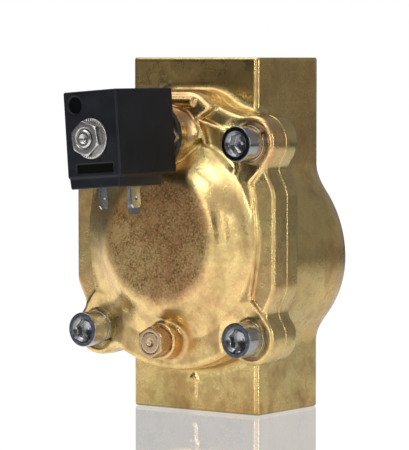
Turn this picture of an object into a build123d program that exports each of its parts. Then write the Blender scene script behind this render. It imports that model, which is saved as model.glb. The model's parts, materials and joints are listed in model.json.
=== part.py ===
from build123d import *
import math
import os

# Pilot-operated diaphragm solenoid valve, G2 threaded ends, normally closed.
# Frame: origin at the centre of the inlet end face, +Z along the flow to the outlet,
# the cover and the coil on the -Y side, +X to the right seen from the cover. Millimetres.
# A height "above the pipe axis" is a distance along -Y from the axis through both ports.

# Body casting
body_length = 164.0
body_width = 72.0
rear_chamfer = 23.5
front_corner_radius = 2.5
end_chamfer = 1.2
bowl_radius = 52.0
bowl_corner = 30.0
bowl_rear = 33.0
bowl_z = 70.5

# Ports: G2 internal thread, modelled at its minor diameter
port_radius = 28.33
port_depth = 26.0
passage_radius = 24.0
outlet_passage_radius = 22.0
outlet_passage_y = 3.0

# Flanges of the body and the cover, bolted at four corners
flange_z = 81.5
flange_radius = 61.0
flange_half_width = 57.0
lobe_radius = 12.5
bolt_pitch = 88.0
neck_radius = 5.0
body_flange_rear = 34.0
joint_height = 43.0
cover_face = 52.5
cover_edge_radius = 1.8

# Pilot lobe at the top of both flanges
pilot_lobe_top = 67.5
pilot_lobe_half_top = 13.5
pilot_lobe_half_foot = 23.0
pilot_lobe_foot = 58.5

# Seat and chambers
seat_height = 39.0
seat_bore = 23.0
seat_outer = 28.0
chamber_radius = 43.0
chamber_floor = 27.0
inlet_chamber_floor = -5.0

# Cover dome: flat crown, steep flank, gently falling shoulder with a small step at its foot
dome_height = 64.5
dome_flat_radius = 32.0
dome_flank_radius = 39.5
dome_flank_height = 57.2
dome_shoulder_radius = 46.3
dome_shoulder_height = 55.0
dome_foot_radius = 47.5
dome_ceiling = 59.5
dome_inner_flat = 28.5
dome_inner_bend = 35.5
dome_inner_bend_height = 53.0
dome_inner_rim = 50.3

# Webs on the cover from the pilot pad to the upper screws
web_height = 55.0
web_outline = [(14.0, 55.0), (33.0, 47.4), (36.0, 54.0), (22.0, 57.5), (13.0, 66.0)]

# Diaphragm group
diaphragm_radius = 51.8
diaphragm_thickness = 2.0
seat_disc_radius = 26.5
support_disc_radius = 25.0
support_disc_thickness = 3.0
clamp_screw_radius = 4.0
clamp_head_radius = 7.5
clamp_head_thickness = 3.0
clamp_slot_width = 1.6
clamp_slot_depth = 1.2
clamp_nut_width = 13.0
clamp_nut_thickness = 3.0
fold_height = 4.0
main_spring_radius = 13.0
main_spring_wire = 0.8
main_spring_turns = 4

# Pilot: boss, nozzle, armature tube, core and plunger, all on the pilot axis
pilot_offset = 46.8
pilot_boss_radius = 14.8
pilot_boss_height = 66.0
pilot_pad_half_width = 17.6
pilot_pad_half_rise = 12.0
pilot_pad_shift = 1.2
pilot_pad_height = 57.5
pilot_pad_neck = 14.7
pilot_pad_top = 64.5
pilot_ridge_height = 59.5
pilot_ridge_width = 29.0
pilot_ridge_rise = 4.0
pilot_well_radius = 9.0
pilot_well_floor = 58.5
nozzle_tip = 60.0
nozzle_radius = 3.5
nozzle_foot = 53.0
nozzle_cone_rise = 1.5
nozzle_cone_radius = 2.4
orifice_radius = 0.9
channel_radius = 1.5
bleed_channel_radius = 1.0
bleed_channel_length = 14.0
bleed_channel_depth = 2.5
feed_below_well = 2.5
feed_start = 20.0
feed_length = 22.5
feed_rise = 5.0
feed_rise_radius = 1.3
feed_rise_inset = 1.2
tube_outer = 6.75
tube_inner = 6.06
tube_top = 100.0
tube_neck_end = 60.5
tube_hex_width = 27.0
tube_hex_height = 68.5
coil_rear = 71.0
collar_radius = 15.2
collar_edge_radius = 0.6
plunger_radius = 6.0
plunger_foot = 60.6
plunger_top = 88.2
spring_pocket_floor = 78.0
spring_pocket_radius = 3.3
plunger_seal_radius = 3.05
plunger_seal_pocket = 2.4
plunger_flat_depth = 0.6
plunger_flat_width = 4.0
pilot_spring_radius = 2.7
pilot_spring_wire = 0.35
pilot_spring_turns = 7
core_face = 90.0
core_shoulder = 108.0
stud_radius = 4.0
stud_end = 118.4
stud_centre_radius = 2.2
stud_centre_depth = 1.6
shading_ring_outer = 4.98
shading_ring_inner = 4.02
shading_ring_depth = 1.15

# Coil
coil_front = 112.2
coil_width = 30.0
coil_rise = 21.2
coil_drop = 17.2
coil_turn = 4.2
coil_edge_radius = 0.8
coil_recess_depth = 0.5
round_recess_radius = 3.9
round_recess_x = -8.6
round_recess_rise = 15.2
long_recess_length = 20.7
long_recess_width = 4.2
long_recess_x = 0.7
long_recess_drop = 13.2
recess_corner_radius = 0.6
coil_rear_wall = 2.5
coil_front_wall = 3.5
connector_drop = 22.1
connector_width = 28.0
connector_depth = 30.5
connector_screw_radius = 1.25
connector_screw_depth = 7.0
winding_radius = 11.6
bobbin_wall = 8.0
bobbin_flange = 1.2
yoke_radius = 13.0
yoke_wall = 1.2
blade_width = 6.3
blade_thickness = 0.8
blade_root = 3.0
live_blade_length = 9.5
earth_blade_length = 12.6
blade_tip_inset = 1.3
blade_tip_taper = 1.5
blade_hole_radius = 0.9
blade_hole_from_tip = 4.2
blade_spacing = 18.0
live_blade_height = 95.0
earth_blade_height = 84.6

# Fasteners
screw_radius = 5.0
screw_head_radius = 8.0
screw_head_height = 10.0
screw_length = 20.0
screw_socket_width = 8.0
screw_socket_depth = 5.0
lock_washer_thickness = 2.2
lock_washer_gap = 1.0
lock_washer_cut = 5.0
lock_washer_gap_angle = 25
lock_washer_radius = 8.1
screw_clearance = 0.5
head_chamfer = 0.8
plug_width = 13.0
plug_offset = 47.0
plug_boss_radius = 8.4
plug_boss_height = 63.0
plug_thread_radius = 4.85
plug_face = 70.2
gasket_thickness = 0.9
plug_dimple_radius = 1.2
plug_dimple_depth = 0.8
arrow_width = 1.8
arrow_length = 12.0
arrow_head_half_width = 3.2
arrow_head_rear = 2.0
arrow_head_tip = 3.0
arrow_z = 12.0
arrow_relief = 0.6
bore_below_axis = 14.0
return_channel_depth = 28.0
coil_washer_radius = 9.0
coil_washer_thickness = 1.2
coil_nut_width = 14.0
coil_nut_thickness = 4.2
coil_nut_rotation = 12
nut_corner_width = 1.2
nut_corner_height = 0.7

clearance = 0.05
embed = 1.0
cut_through = 25.0
pilot_z = flange_z + pilot_offset
plug_z = flange_z - plug_offset
bolt_places = [(x * bolt_pitch / 2, y * bolt_pitch / 2) for x in (-1, 1) for y in (-1, 1)]
washer_top = cover_face + lock_washer_thickness
os.makedirs("parts", exist_ok=True)


def flange_plane(height):
    """Plane facing the cover side on the flange's centre; local x is +X and local y is +Z."""
    return Plane(origin=(0, -height, flange_z), x_dir=(1, 0, 0), z_dir=(0, -1, 0))


def pilot_plane(height):
    """Plane facing the cover side on the pilot axis."""
    return Plane(origin=(0, -height, pilot_z), x_dir=(1, 0, 0), z_dir=(0, -1, 0))


def plug_plane(height):
    """Plane facing the cover side on the bleed plug's axis."""
    return Plane(origin=(0, -height, plug_z), x_dir=(1, 0, 0), z_dir=(0, -1, 0))


def coil_plane(height):
    """The pilot plane turned with the coil about the pilot axis."""
    turn = math.radians(coil_turn)
    return Plane(
        origin=(0, -height, pilot_z), x_dir=(math.cos(turn), 0, math.sin(turn)), z_dir=(0, -1, 0)
    )


def flange_outline():
    """Round flange with flat sides, four bolt lobes and the pilot lobe, its necks rounded."""
    Circle(flange_radius)
    Rectangle(2 * flange_half_width, 3 * flange_radius, mode=Mode.INTERSECT)
    with Locations(*bolt_places):
        Circle(lobe_radius)
    Polygon(
        (-pilot_lobe_half_foot, pilot_lobe_foot - 10),
        (-pilot_lobe_half_foot, pilot_lobe_foot),
        (-pilot_lobe_half_top, pilot_lobe_top),
        (pilot_lobe_half_top, pilot_lobe_top),
        (pilot_lobe_half_foot, pilot_lobe_foot),
        (pilot_lobe_half_foot, pilot_lobe_foot - 10),
        align=None,
    )
    offset(amount=neck_radius, mode=Mode.REPLACE)
    offset(amount=-neck_radius, mode=Mode.REPLACE)


def blade_outline(length):
    """Flat blade pointing along local +y, with a tapered tip and a hole near it."""
    half_width = blade_width / 2
    Polygon(
        (-half_width, -blade_root),
        (half_width, -blade_root),
        (half_width, length - blade_tip_taper),
        (half_width - blade_tip_inset, length),
        (blade_tip_inset - half_width, length),
        (-half_width, length - blade_tip_taper),
        align=None,
    )
    with Locations((0, length - blade_hole_from_tip)):
        Circle(blade_hole_radius, mode=Mode.SUBTRACT)


def ring(outer, inner):
    """Annulus centred on the current plane."""
    Circle(outer)
    Circle(inner, mode=Mode.SUBTRACT)


# ------------------------------------------------------------------ valve body
with BuildPart() as valve_body:
    half = body_width / 2
    with BuildSketch(Plane.XY):
        Polygon(
            (-half, -half),
            (half, -half),
            (half, half - rear_chamfer),
            (half - rear_chamfer, half),
            (rear_chamfer - half, half),
            (-half, half - rear_chamfer),
            align=None,
        )
    extrude(amount=body_length)
    fillet(valve_body.edges().filter_by(Axis.Z).group_by(Axis.Y)[0], radius=front_corner_radius)
    chamfer(valve_body.edges().group_by(Axis.Z)[0], length=end_chamfer)
    chamfer(valve_body.edges().group_by(Axis.Z)[-1], length=end_chamfer)
    # Bowl around the seat, turned about an axis below the flange centre
    with BuildSketch(Plane.XY.offset(bowl_z)):
        with BuildLine():
            side_end = bowl_rear - bowl_corner
            Line((0, -body_flange_rear), (bowl_radius, -body_flange_rear))
            Line((bowl_radius, -body_flange_rear), (bowl_radius, side_end))
            RadiusArc(
                (bowl_radius, side_end),
                (bowl_radius - bowl_corner, bowl_rear),
                -bowl_corner,
            )
            Line((bowl_radius - bowl_corner, bowl_rear), (0, bowl_rear))
            Line((0, bowl_rear), (0, -body_flange_rear))
        make_face()
    revolve(axis=Axis((0, 0, bowl_z), (0, 1, 0)))
    with BuildSketch(flange_plane(body_flange_rear)):
        flange_outline()
    extrude(amount=joint_height - body_flange_rear)
    # Raised flow arrow on the front face below the flange
    with BuildSketch(Plane(origin=(0, -half, arrow_z), x_dir=(1, 0, 0), z_dir=(0, -1, 0))):
        Rectangle(arrow_width, arrow_length)
        with Locations((0, arrow_length / 3)):
            Polygon(
                (-arrow_head_half_width, -arrow_head_rear),
                (arrow_head_half_width, -arrow_head_rear),
                (0, arrow_head_tip),
                align=None,
            )
    extrude(amount=arrow_relief)
    # Threaded ports and the passages behind them
    with BuildSketch(Plane.XY):
        Circle(port_radius)
    extrude(amount=port_depth, mode=Mode.SUBTRACT)
    with BuildSketch(Plane.XY.offset(body_length)):
        Circle(port_radius)
    extrude(amount=-port_depth, mode=Mode.SUBTRACT)
    with BuildSketch(Plane.XY.offset(port_depth)):
        Circle(passage_radius)
    extrude(amount=flange_z - seat_outer - port_depth - 1, mode=Mode.SUBTRACT)
    with BuildSketch(Plane(origin=(0, outlet_passage_y, body_length - port_depth))):
        Circle(outlet_passage_radius)
    extrude(amount=flange_z - body_length + port_depth, mode=Mode.SUBTRACT)
    # Inlet chamber around the seat tube: shallow all round, deep on the inlet side
    with BuildSketch(flange_plane(joint_height)):
        ring(chamber_radius, seat_outer)
    extrude(amount=chamber_floor - joint_height, mode=Mode.SUBTRACT)
    with BuildSketch(flange_plane(chamber_floor)):
        ring(chamber_radius, seat_outer)
        with Locations((0, chamber_radius - 10)):
            Rectangle(2 * chamber_radius, 2 * chamber_radius, mode=Mode.SUBTRACT)
    extrude(amount=inlet_chamber_floor - chamber_floor, mode=Mode.SUBTRACT)
    # Seat face set below the joint, and the bore through the seat into the outlet passage
    with BuildSketch(flange_plane(joint_height)):
        Circle(seat_outer + 1)
    extrude(amount=seat_height - joint_height, mode=Mode.SUBTRACT)
    with BuildSketch(flange_plane(seat_height)):
        Circle(seat_bore)
    extrude(amount=-seat_height - bore_below_axis, mode=Mode.SUBTRACT)
    # Pilot return channel into the outlet passage
    with BuildSketch(pilot_plane(joint_height)):
        Circle(channel_radius)
    extrude(amount=-return_channel_depth, mode=Mode.SUBTRACT)
    # Tapped holes of the cover screws
    with BuildSketch(flange_plane(joint_height)):
        with Locations(*bolt_places):
            Circle(screw_radius + clearance)
    extrude(amount=body_flange_rear - joint_height, mode=Mode.SUBTRACT)
valve_body.part.label = "valve_body"
export_step(valve_body.part, "parts/valve_body.step")

# ----------------------------------------------------------------------- cover
with BuildPart() as cover:
    with BuildSketch(flange_plane(joint_height)):
        flange_outline()
    extrude(amount=cover_face - joint_height)
    fillet(cover.edges().group_by(Axis.Y)[0], radius=cover_edge_radius)
    with BuildSketch(Plane.XY.offset(flange_z)):
        Polygon(
            (0, -cover_face + embed),
            (dome_foot_radius, -cover_face + embed),
            (dome_foot_radius, -cover_face),
            (dome_shoulder_radius, -dome_shoulder_height),
            (dome_flank_radius, -dome_flank_height),
            (dome_flat_radius, -dome_height),
            (0, -dome_height),
            align=None,
        )
    revolve(axis=Axis((0, 0, flange_z), (0, 1, 0)))
    # Pilot pad: an oval around the boss with a neck to the top of the lobe, and a ridge across it
    with BuildSketch(flange_plane(cover_face - embed)):
        with Locations((0, pilot_offset + pilot_pad_shift)):
            Ellipse(pilot_pad_half_width, pilot_pad_half_rise)
        Polygon(
            (-pilot_pad_neck, pilot_offset),
            (pilot_pad_neck, pilot_offset),
            (pilot_pad_neck, pilot_lobe_foot - 3),
            (pilot_lobe_half_top - 2, pilot_pad_top),
            (2 - pilot_lobe_half_top, pilot_pad_top),
            (-pilot_pad_neck, pilot_lobe_foot - 3),
            align=None,
        )
    extrude(amount=pilot_pad_height - cover_face + embed)
    with BuildSketch(flange_plane(cover_face - embed)):
        with Locations((0, pilot_pad_top - pilot_ridge_rise / 2)):
            Rectangle(pilot_ridge_width, pilot_ridge_rise)
    extrude(amount=pilot_ridge_height - cover_face + embed)
    with BuildSketch(pilot_plane(cover_face - embed)):
        Circle(pilot_boss_radius)
    extrude(amount=pilot_boss_height - cover_face + embed)
    # Webs that leave a sunken triangle between the pad, the dome and each upper screw
    with BuildSketch(flange_plane(cover_face - embed)):
        for side in (-1, 1):
            Polygon(*[(side * x, y) for x, y in web_outline], align=None)
    extrude(amount=web_height - cover_face + embed)
    # Bleed plug boss
    with BuildSketch(plug_plane(cover_face - embed)):
        Circle(plug_boss_radius)
    extrude(amount=plug_boss_height - cover_face + embed)
    # Control chamber above the diaphragm
    with BuildSketch(Plane.XY.offset(flange_z)):
        recess_top = joint_height + diaphragm_thickness
        Polygon(
            (0, -joint_height),
            (diaphragm_radius + clearance, -joint_height),
            (diaphragm_radius + clearance, -recess_top),
            (chamber_radius, -recess_top),
            (chamber_radius, -dome_inner_rim),
            (dome_inner_bend, -dome_inner_bend_height),
            (dome_inner_flat, -dome_ceiling),
            (0, -dome_ceiling),
            align=None,
        )
    revolve(axis=Axis((0, 0, flange_z), (0, 1, 0)), mode=Mode.SUBTRACT)
    # Pilot well, nozzle seat and return channel
    with BuildSketch(pilot_plane(pilot_well_floor)):
        Circle(pilot_well_radius + clearance)
    extrude(amount=cut_through, mode=Mode.SUBTRACT)
    with BuildSketch(pilot_plane(nozzle_foot)):
        Circle(nozzle_radius + clearance)
    extrude(amount=cut_through, mode=Mode.SUBTRACT)
    with BuildSketch(pilot_plane(joint_height)):
        Circle(channel_radius)
    extrude(amount=cut_through, mode=Mode.SUBTRACT)
    # Feed channel from the control chamber to the pilot well
    feed_height = pilot_well_floor - feed_below_well
    with BuildSketch(Plane(origin=(0, -feed_height, flange_z + feed_start))):
        Circle(bleed_channel_radius)
    extrude(amount=feed_length, mode=Mode.SUBTRACT)
    with BuildSketch(flange_plane(feed_height - bleed_channel_radius / 2)):
        with Locations((0, feed_start + feed_length - feed_rise_inset)):
            Circle(feed_rise_radius)
    extrude(amount=feed_rise, mode=Mode.SUBTRACT)
    # Tapped hole of the bleed plug and its channel
    with BuildSketch(plug_plane(cover_face - bleed_channel_depth)):
        Circle(plug_thread_radius + clearance)
    extrude(amount=cut_through, mode=Mode.SUBTRACT)
    with BuildSketch(Plane(origin=(0, -cover_face, plug_z))):
        Circle(bleed_channel_radius)
    extrude(amount=bleed_channel_length, mode=Mode.SUBTRACT)
    # Clearance holes of the cover screws
    with BuildSketch(flange_plane(joint_height)):
        with Locations(*bolt_places):
            Circle(screw_radius + screw_clearance)
    extrude(amount=cut_through, mode=Mode.SUBTRACT)
cover.part.label = "cover"
export_step(cover.part, "parts/cover.step")

# -------------------------------------------------- cover screws, lock washers
with BuildPart() as cover_screws:
    with BuildSketch(flange_plane(washer_top)):
        with Locations(*bolt_places):
            Circle(screw_radius)
    extrude(amount=-screw_length)
    with BuildSketch(flange_plane(washer_top)):
        with Locations(*bolt_places):
            Circle(screw_head_radius)
    extrude(amount=screw_head_height)
    chamfer(cover_screws.edges().group_by(Axis.Y)[0], length=head_chamfer)
    with BuildSketch(flange_plane(washer_top + screw_head_height)):
        with Locations(*bolt_places):
            RegularPolygon(screw_socket_width / 2, 6, major_radius=False)
    extrude(amount=-screw_socket_depth, mode=Mode.SUBTRACT)
cover_screws.part.label = "cover_screws"
export_step(cover_screws.part, "parts/cover_screws.step")

with BuildPart() as cover_lock_washers:
    with BuildSketch(flange_plane(cover_face)):
        with Locations(*bolt_places):
            ring(lock_washer_radius, screw_radius + 0.2)
        # The split of each spring washer
        with Locations(*[(x + lock_washer_radius - 1, y) for x, y in bolt_places]):
            Rectangle(lock_washer_cut, lock_washer_gap, rotation=lock_washer_gap_angle, mode=Mode.SUBTRACT)
    extrude(amount=lock_washer_thickness)
cover_lock_washers.part.label = "cover_lock_washers"
export_step(cover_lock_washers.part, "parts/cover_lock_washers.step")

# ------------------------------------------------------------- diaphragm group
diaphragm_top = joint_height + diaphragm_thickness
with BuildPart() as diaphragm:
    with BuildSketch(Plane.XY.offset(flange_z)):
        with BuildLine():
            fold_in = support_disc_radius + 3
            fold_out = chamber_radius - 1
            fold_mid = (fold_in + fold_out) / 2
            Polyline(
                (fold_out, -joint_height),
                (diaphragm_radius, -joint_height),
                (diaphragm_radius, -diaphragm_top),
                (fold_out, -diaphragm_top),
            )
            ThreePointArc(
                (fold_out, -diaphragm_top),
                (fold_mid, -diaphragm_top - fold_height),
                (fold_in, -diaphragm_top),
            )
            Polyline(
                (fold_in, -diaphragm_top),
                (clamp_screw_radius + clearance, -diaphragm_top),
                (clamp_screw_radius + clearance, -joint_height),
                (fold_in, -joint_height),
            )
            ThreePointArc(
                (fold_in, -joint_height),
                (fold_mid, -joint_height - fold_height),
                (fold_out, -joint_height),
            )
        make_face()
    revolve(axis=Axis((0, 0, flange_z), (0, 1, 0)))
    with BuildSketch(pilot_plane(joint_height)):
        Circle(channel_radius + 0.5)
    extrude(amount=diaphragm_thickness, mode=Mode.SUBTRACT)
diaphragm.part.label = "diaphragm"
export_step(diaphragm.part, "parts/diaphragm.step")

with BuildPart() as diaphragm_seat_disc:
    with BuildSketch(flange_plane(seat_height)):
        ring(seat_disc_radius, clamp_screw_radius + clearance)
    extrude(amount=joint_height - seat_height)
    chamfer(diaphragm_seat_disc.edges().group_by(Axis.Y)[-1].sort_by(SortBy.LENGTH)[-1], length=0.8)
diaphragm_seat_disc.part.label = "diaphragm_seat_disc"
export_step(diaphragm_seat_disc.part, "parts/diaphragm_seat_disc.step")

support_top = diaphragm_top + support_disc_thickness
with BuildPart() as diaphragm_support_disc:
    with BuildSketch(flange_plane(diaphragm_top)):
        ring(support_disc_radius, clamp_screw_radius + clearance)
    extrude(amount=support_disc_thickness)
    fillet(diaphragm_support_disc.edges().group_by(Axis.Y)[0].sort_by(SortBy.LENGTH)[-1], radius=1.5)
diaphragm_support_disc.part.label = "diaphragm_support_disc"
export_step(diaphragm_support_disc.part, "parts/diaphragm_support_disc.step")

with BuildPart() as diaphragm_screw:
    with BuildSketch(flange_plane(seat_height)):
        Circle(clamp_head_radius)
    extrude(amount=-clamp_head_thickness)
    with BuildSketch(flange_plane(seat_height)):
        Circle(clamp_screw_radius)
    extrude(amount=support_top + clamp_nut_thickness + 0.5 - seat_height)
    # Slot across the head
    with BuildSketch(flange_plane(seat_height - clamp_head_thickness)):
        Rectangle(2 * clamp_head_radius, clamp_slot_width)
    extrude(amount=clamp_slot_depth, mode=Mode.SUBTRACT)
diaphragm_screw.part.label = "diaphragm_screw"
export_step(diaphragm_screw.part, "parts/diaphragm_screw.step")

with BuildPart() as diaphragm_nut:
    with BuildSketch(flange_plane(support_top)):
        RegularPolygon(clamp_nut_width / 2, 6, major_radius=False)
        Circle(clamp_screw_radius + clearance, mode=Mode.SUBTRACT)
    extrude(amount=clamp_nut_thickness)
diaphragm_nut.part.label = "diaphragm_nut"
export_step(diaphragm_nut.part, "parts/diaphragm_nut.step")

with BuildPart() as main_spring:
    spring_rise = dome_ceiling - support_top - 2 * (main_spring_wire + clearance)
    with BuildLine() as main_spring_path:
        Helix(
            pitch=spring_rise / main_spring_turns,
            height=spring_rise,
            radius=main_spring_radius,
            center=(0, -support_top - main_spring_wire - clearance, flange_z),
            direction=(0, -1, 0),
        )
    with BuildSketch(Plane(origin=main_spring_path.line @ 0, z_dir=main_spring_path.line % 0)):
        Circle(main_spring_wire)
    sweep(path=main_spring_path.line, is_frenet=True)
main_spring.part.label = "main_spring"
export_step(main_spring.part, "parts/main_spring.step")

# ------------------------------------------------------------------ bleed plug
plug_shoulder = plug_boss_height + gasket_thickness
with BuildPart() as bleed_plug:
    with BuildSketch(plug_plane(plug_shoulder)):
        RegularPolygon(plug_width / 2, 6, major_radius=False, rotation=30)
    extrude(amount=plug_face - plug_shoulder)
    with BuildSketch(plug_plane(plug_face)):
        Circle(plug_width / 2 + 0.2)
    extrude(amount=plug_shoulder - plug_face, taper=-60, mode=Mode.INTERSECT)
    with BuildSketch(plug_plane(plug_shoulder)):
        Circle(plug_thread_radius)
    extrude(amount=cover_face - 2 - plug_shoulder)
    # Centre dimple of the hexagon
    with BuildSketch(plug_plane(plug_face)):
        Circle(plug_dimple_radius)
    extrude(amount=-plug_dimple_depth, taper=40, mode=Mode.SUBTRACT)
bleed_plug.part.label = "bleed_plug"
export_step(bleed_plug.part, "parts/bleed_plug.step")

with BuildPart() as bleed_plug_gasket:
    with BuildSketch(plug_plane(plug_boss_height)):
        ring(plug_width / 2, plug_thread_radius + 0.1)
    extrude(amount=gasket_thickness)
bleed_plug_gasket.part.label = "bleed_plug_gasket"
export_step(bleed_plug_gasket.part, "parts/bleed_plug_gasket.step")

# ----------------------------------------------------------------- pilot valve
with BuildPart() as pilot_seat:
    with BuildSketch(pilot_plane(nozzle_foot)):
        Circle(nozzle_radius)
    extrude(amount=nozzle_tip - nozzle_cone_rise - nozzle_foot)
    with BuildSketch(pilot_plane(nozzle_tip - nozzle_cone_rise)):
        Circle(nozzle_cone_radius)
    extrude(amount=nozzle_cone_rise, taper=25)
    with BuildSketch(pilot_plane(nozzle_foot)):
        Circle(orifice_radius)
    extrude(amount=10, mode=Mode.SUBTRACT)
pilot_seat.part.label = "pilot_seat"
export_step(pilot_seat.part, "parts/pilot_seat.step")

with BuildPart() as armature_tube:
    with BuildSketch(pilot_plane(tube_neck_end)):
        Circle(pilot_well_radius)
    extrude(amount=tube_hex_height - tube_neck_end)
    with BuildSketch(pilot_plane(tube_hex_height)):
        RegularPolygon(tube_hex_width / 2, 6, major_radius=False)
    extrude(amount=coil_rear - tube_hex_height)
    with BuildSketch(pilot_plane(coil_rear)):
        Circle(tube_outer)
    extrude(amount=tube_top - coil_rear)
    with BuildSketch(pilot_plane(tube_neck_end)):
        Circle(tube_inner)
    extrude(amount=tube_top - tube_neck_end, mode=Mode.SUBTRACT)
armature_tube.part.label = "armature_tube"
export_step(armature_tube.part, "parts/armature_tube.step")

with BuildPart() as tube_o_ring:
    o_ring_wire = (tube_neck_end - pilot_well_floor) / 2
    with BuildSketch(Plane.XY.offset(pilot_z)):
        with Locations((pilot_well_radius - o_ring_wire, -pilot_well_floor - o_ring_wire)):
            Circle(o_ring_wire)
    revolve(axis=Axis((0, 0, pilot_z), (0, 1, 0)))
tube_o_ring.part.label = "tube_o_ring"
export_step(tube_o_ring.part, "parts/tube_o_ring.step")

with BuildPart() as tube_collar_seal:
    with BuildSketch(pilot_plane(pilot_boss_height)):
        ring(collar_radius, pilot_well_radius + clearance)
    extrude(amount=tube_hex_height - pilot_boss_height)
    fillet(tube_collar_seal.faces().sort_by(Axis.X)[-1].edges(), radius=collar_edge_radius)
tube_collar_seal.part.label = "tube_collar_seal"
export_step(tube_collar_seal.part, "parts/tube_collar_seal.step")

with BuildPart() as fixed_core:
    with BuildSketch(pilot_plane(core_face)):
        Circle(tube_inner - 0.01)
    extrude(amount=tube_top - core_face)
    with BuildSketch(pilot_plane(tube_top)):
        Circle(tube_outer)
    extrude(amount=core_shoulder - tube_top)
    with BuildSketch(pilot_plane(core_shoulder)):
        Circle(stud_radius)
    extrude(amount=stud_end - core_shoulder)
    chamfer(fixed_core.edges().group_by(Axis.Y)[0], length=0.7)
    # Centre drilling of the stud end
    with BuildSketch(pilot_plane(stud_end)):
        Circle(stud_centre_radius)
    extrude(amount=-stud_centre_depth, taper=45, mode=Mode.SUBTRACT)
    # Groove of the shading ring
    with BuildSketch(pilot_plane(core_face)):
        ring(shading_ring_outer + 0.02, shading_ring_inner - 0.02)
    extrude(amount=shading_ring_depth + clearance, mode=Mode.SUBTRACT)
fixed_core.part.label = "fixed_core"
export_step(fixed_core.part, "parts/fixed_core.step")

with BuildPart() as shading_ring:
    with BuildSketch(pilot_plane(core_face)):
        ring(shading_ring_outer, shading_ring_inner)
    extrude(amount=shading_ring_depth)
shading_ring.part.label = "shading_ring"
export_step(shading_ring.part, "parts/shading_ring.step")

with BuildPart() as plunger:
    with BuildSketch(pilot_plane(plunger_foot)):
        Circle(plunger_radius)
    extrude(amount=plunger_top - plunger_foot)
    with BuildSketch(pilot_plane(spring_pocket_floor)):
        Circle(spring_pocket_radius)
    extrude(amount=20, mode=Mode.SUBTRACT)
    with BuildSketch(pilot_plane(plunger_foot)):
        Circle(plunger_seal_radius + clearance)
    extrude(amount=plunger_seal_pocket, mode=Mode.SUBTRACT)
    # Flow flats down both sides
    with BuildSketch(pilot_plane(plunger_foot)):
        with Locations((plunger_radius, 0), (-plunger_radius, 0)):
            Rectangle(2 * plunger_flat_depth, plunger_flat_width)
    extrude(amount=plunger_top - plunger_foot, mode=Mode.SUBTRACT)
plunger.part.label = "plunger"
export_step(plunger.part, "parts/plunger.step")

with BuildPart() as plunger_seal:
    with BuildSketch(pilot_plane(nozzle_tip)):
        Circle(plunger_seal_radius)
    extrude(amount=plunger_foot + plunger_seal_pocket - nozzle_tip)
plunger_seal.part.label = "plunger_seal"
export_step(plunger_seal.part, "parts/plunger_seal.step")

with BuildPart() as plunger_spring:
    pilot_spring_rise = core_face - spring_pocket_floor - 2 * (pilot_spring_wire + clearance)
    with BuildLine() as plunger_spring_path:
        Helix(
            pitch=pilot_spring_rise / pilot_spring_turns,
            height=pilot_spring_rise,
            radius=pilot_spring_radius,
            center=(0, -spring_pocket_floor - pilot_spring_wire - clearance, pilot_z),
            direction=(0, -1, 0),
        )
    with BuildSketch(Plane(origin=plunger_spring_path.line @ 0, z_dir=plunger_spring_path.line % 0)):
        Circle(pilot_spring_wire)
    sweep(path=plunger_spring_path.line, is_frenet=True)
plunger_spring.part.label = "plunger_spring"
export_step(plunger_spring.part, "parts/plunger_spring.step")

# ------------------------------------------------------------------------ coil
coil_depth = coil_front - coil_rear
live_places = [(side * blade_spacing / 2, -connector_drop) for side in (-1, 1)]
blade_plane = coil_plane(live_blade_height)
connector_plane = Plane(
    origin=blade_plane.from_local_coords((0, -connector_drop, 0)),
    x_dir=blade_plane.x_dir,
    z_dir=-blade_plane.y_dir,
)
coil_middle = (coil_rise - coil_drop) / 2
cavity_rear = coil_rear + coil_rear_wall
cavity_front = coil_front - coil_front_wall
with BuildPart() as coil_housing:
    with BuildSketch(coil_plane(coil_rear)):
        with Locations((0, coil_middle)):
            Rectangle(coil_width, coil_rise + coil_drop)
    extrude(amount=coil_depth)
    fillet(coil_housing.edges(), radius=coil_edge_radius)
    # Connector base under the coil, flush with the front
    with BuildSketch(coil_plane(coil_front - 0.3)):
        with Locations((0, -(coil_drop + connector_drop) / 2 + 1)):
            Rectangle(connector_width, connector_drop - coil_drop + 2)
    extrude(amount=-connector_depth)
    # Shallow round and oblong recesses on the front
    with BuildSketch(coil_plane(coil_front)):
        with Locations((round_recess_x, round_recess_rise)):
            Circle(round_recess_radius)
        with Locations((long_recess_x, -long_recess_drop)):
            RectangleRounded(long_recess_length, long_recess_width, recess_corner_radius)
    extrude(amount=-coil_recess_depth, mode=Mode.SUBTRACT)
    # Bore on the armature tube, and the space that the winding fills
    with BuildSketch(coil_plane(coil_rear)):
        Circle(tube_outer + 0.06)
    extrude(amount=coil_depth, mode=Mode.SUBTRACT)
    with BuildSketch(coil_plane(cavity_rear)):
        Circle(yoke_radius)
    extrude(amount=cavity_front - cavity_rear, mode=Mode.SUBTRACT)
    # Slots that hold the terminal blades, and the hole of the connector's screw
    with BuildSketch(coil_plane(live_blade_height - blade_width / 2)):
        with Locations(*live_places):
            Rectangle(blade_thickness, 2 * blade_root)
    extrude(amount=blade_width, mode=Mode.SUBTRACT)
    with BuildSketch(coil_plane(earth_blade_height - blade_thickness / 2)):
        with Locations((0, -connector_drop)):
            Rectangle(blade_width, 2 * blade_root)
    extrude(amount=blade_thickness, mode=Mode.SUBTRACT)
    with BuildSketch(connector_plane):
        Circle(connector_screw_radius)
    extrude(amount=-connector_screw_depth, mode=Mode.SUBTRACT)
coil_housing.part.label = "coil_housing"
export_step(coil_housing.part, "parts/coil_housing.step")

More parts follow.
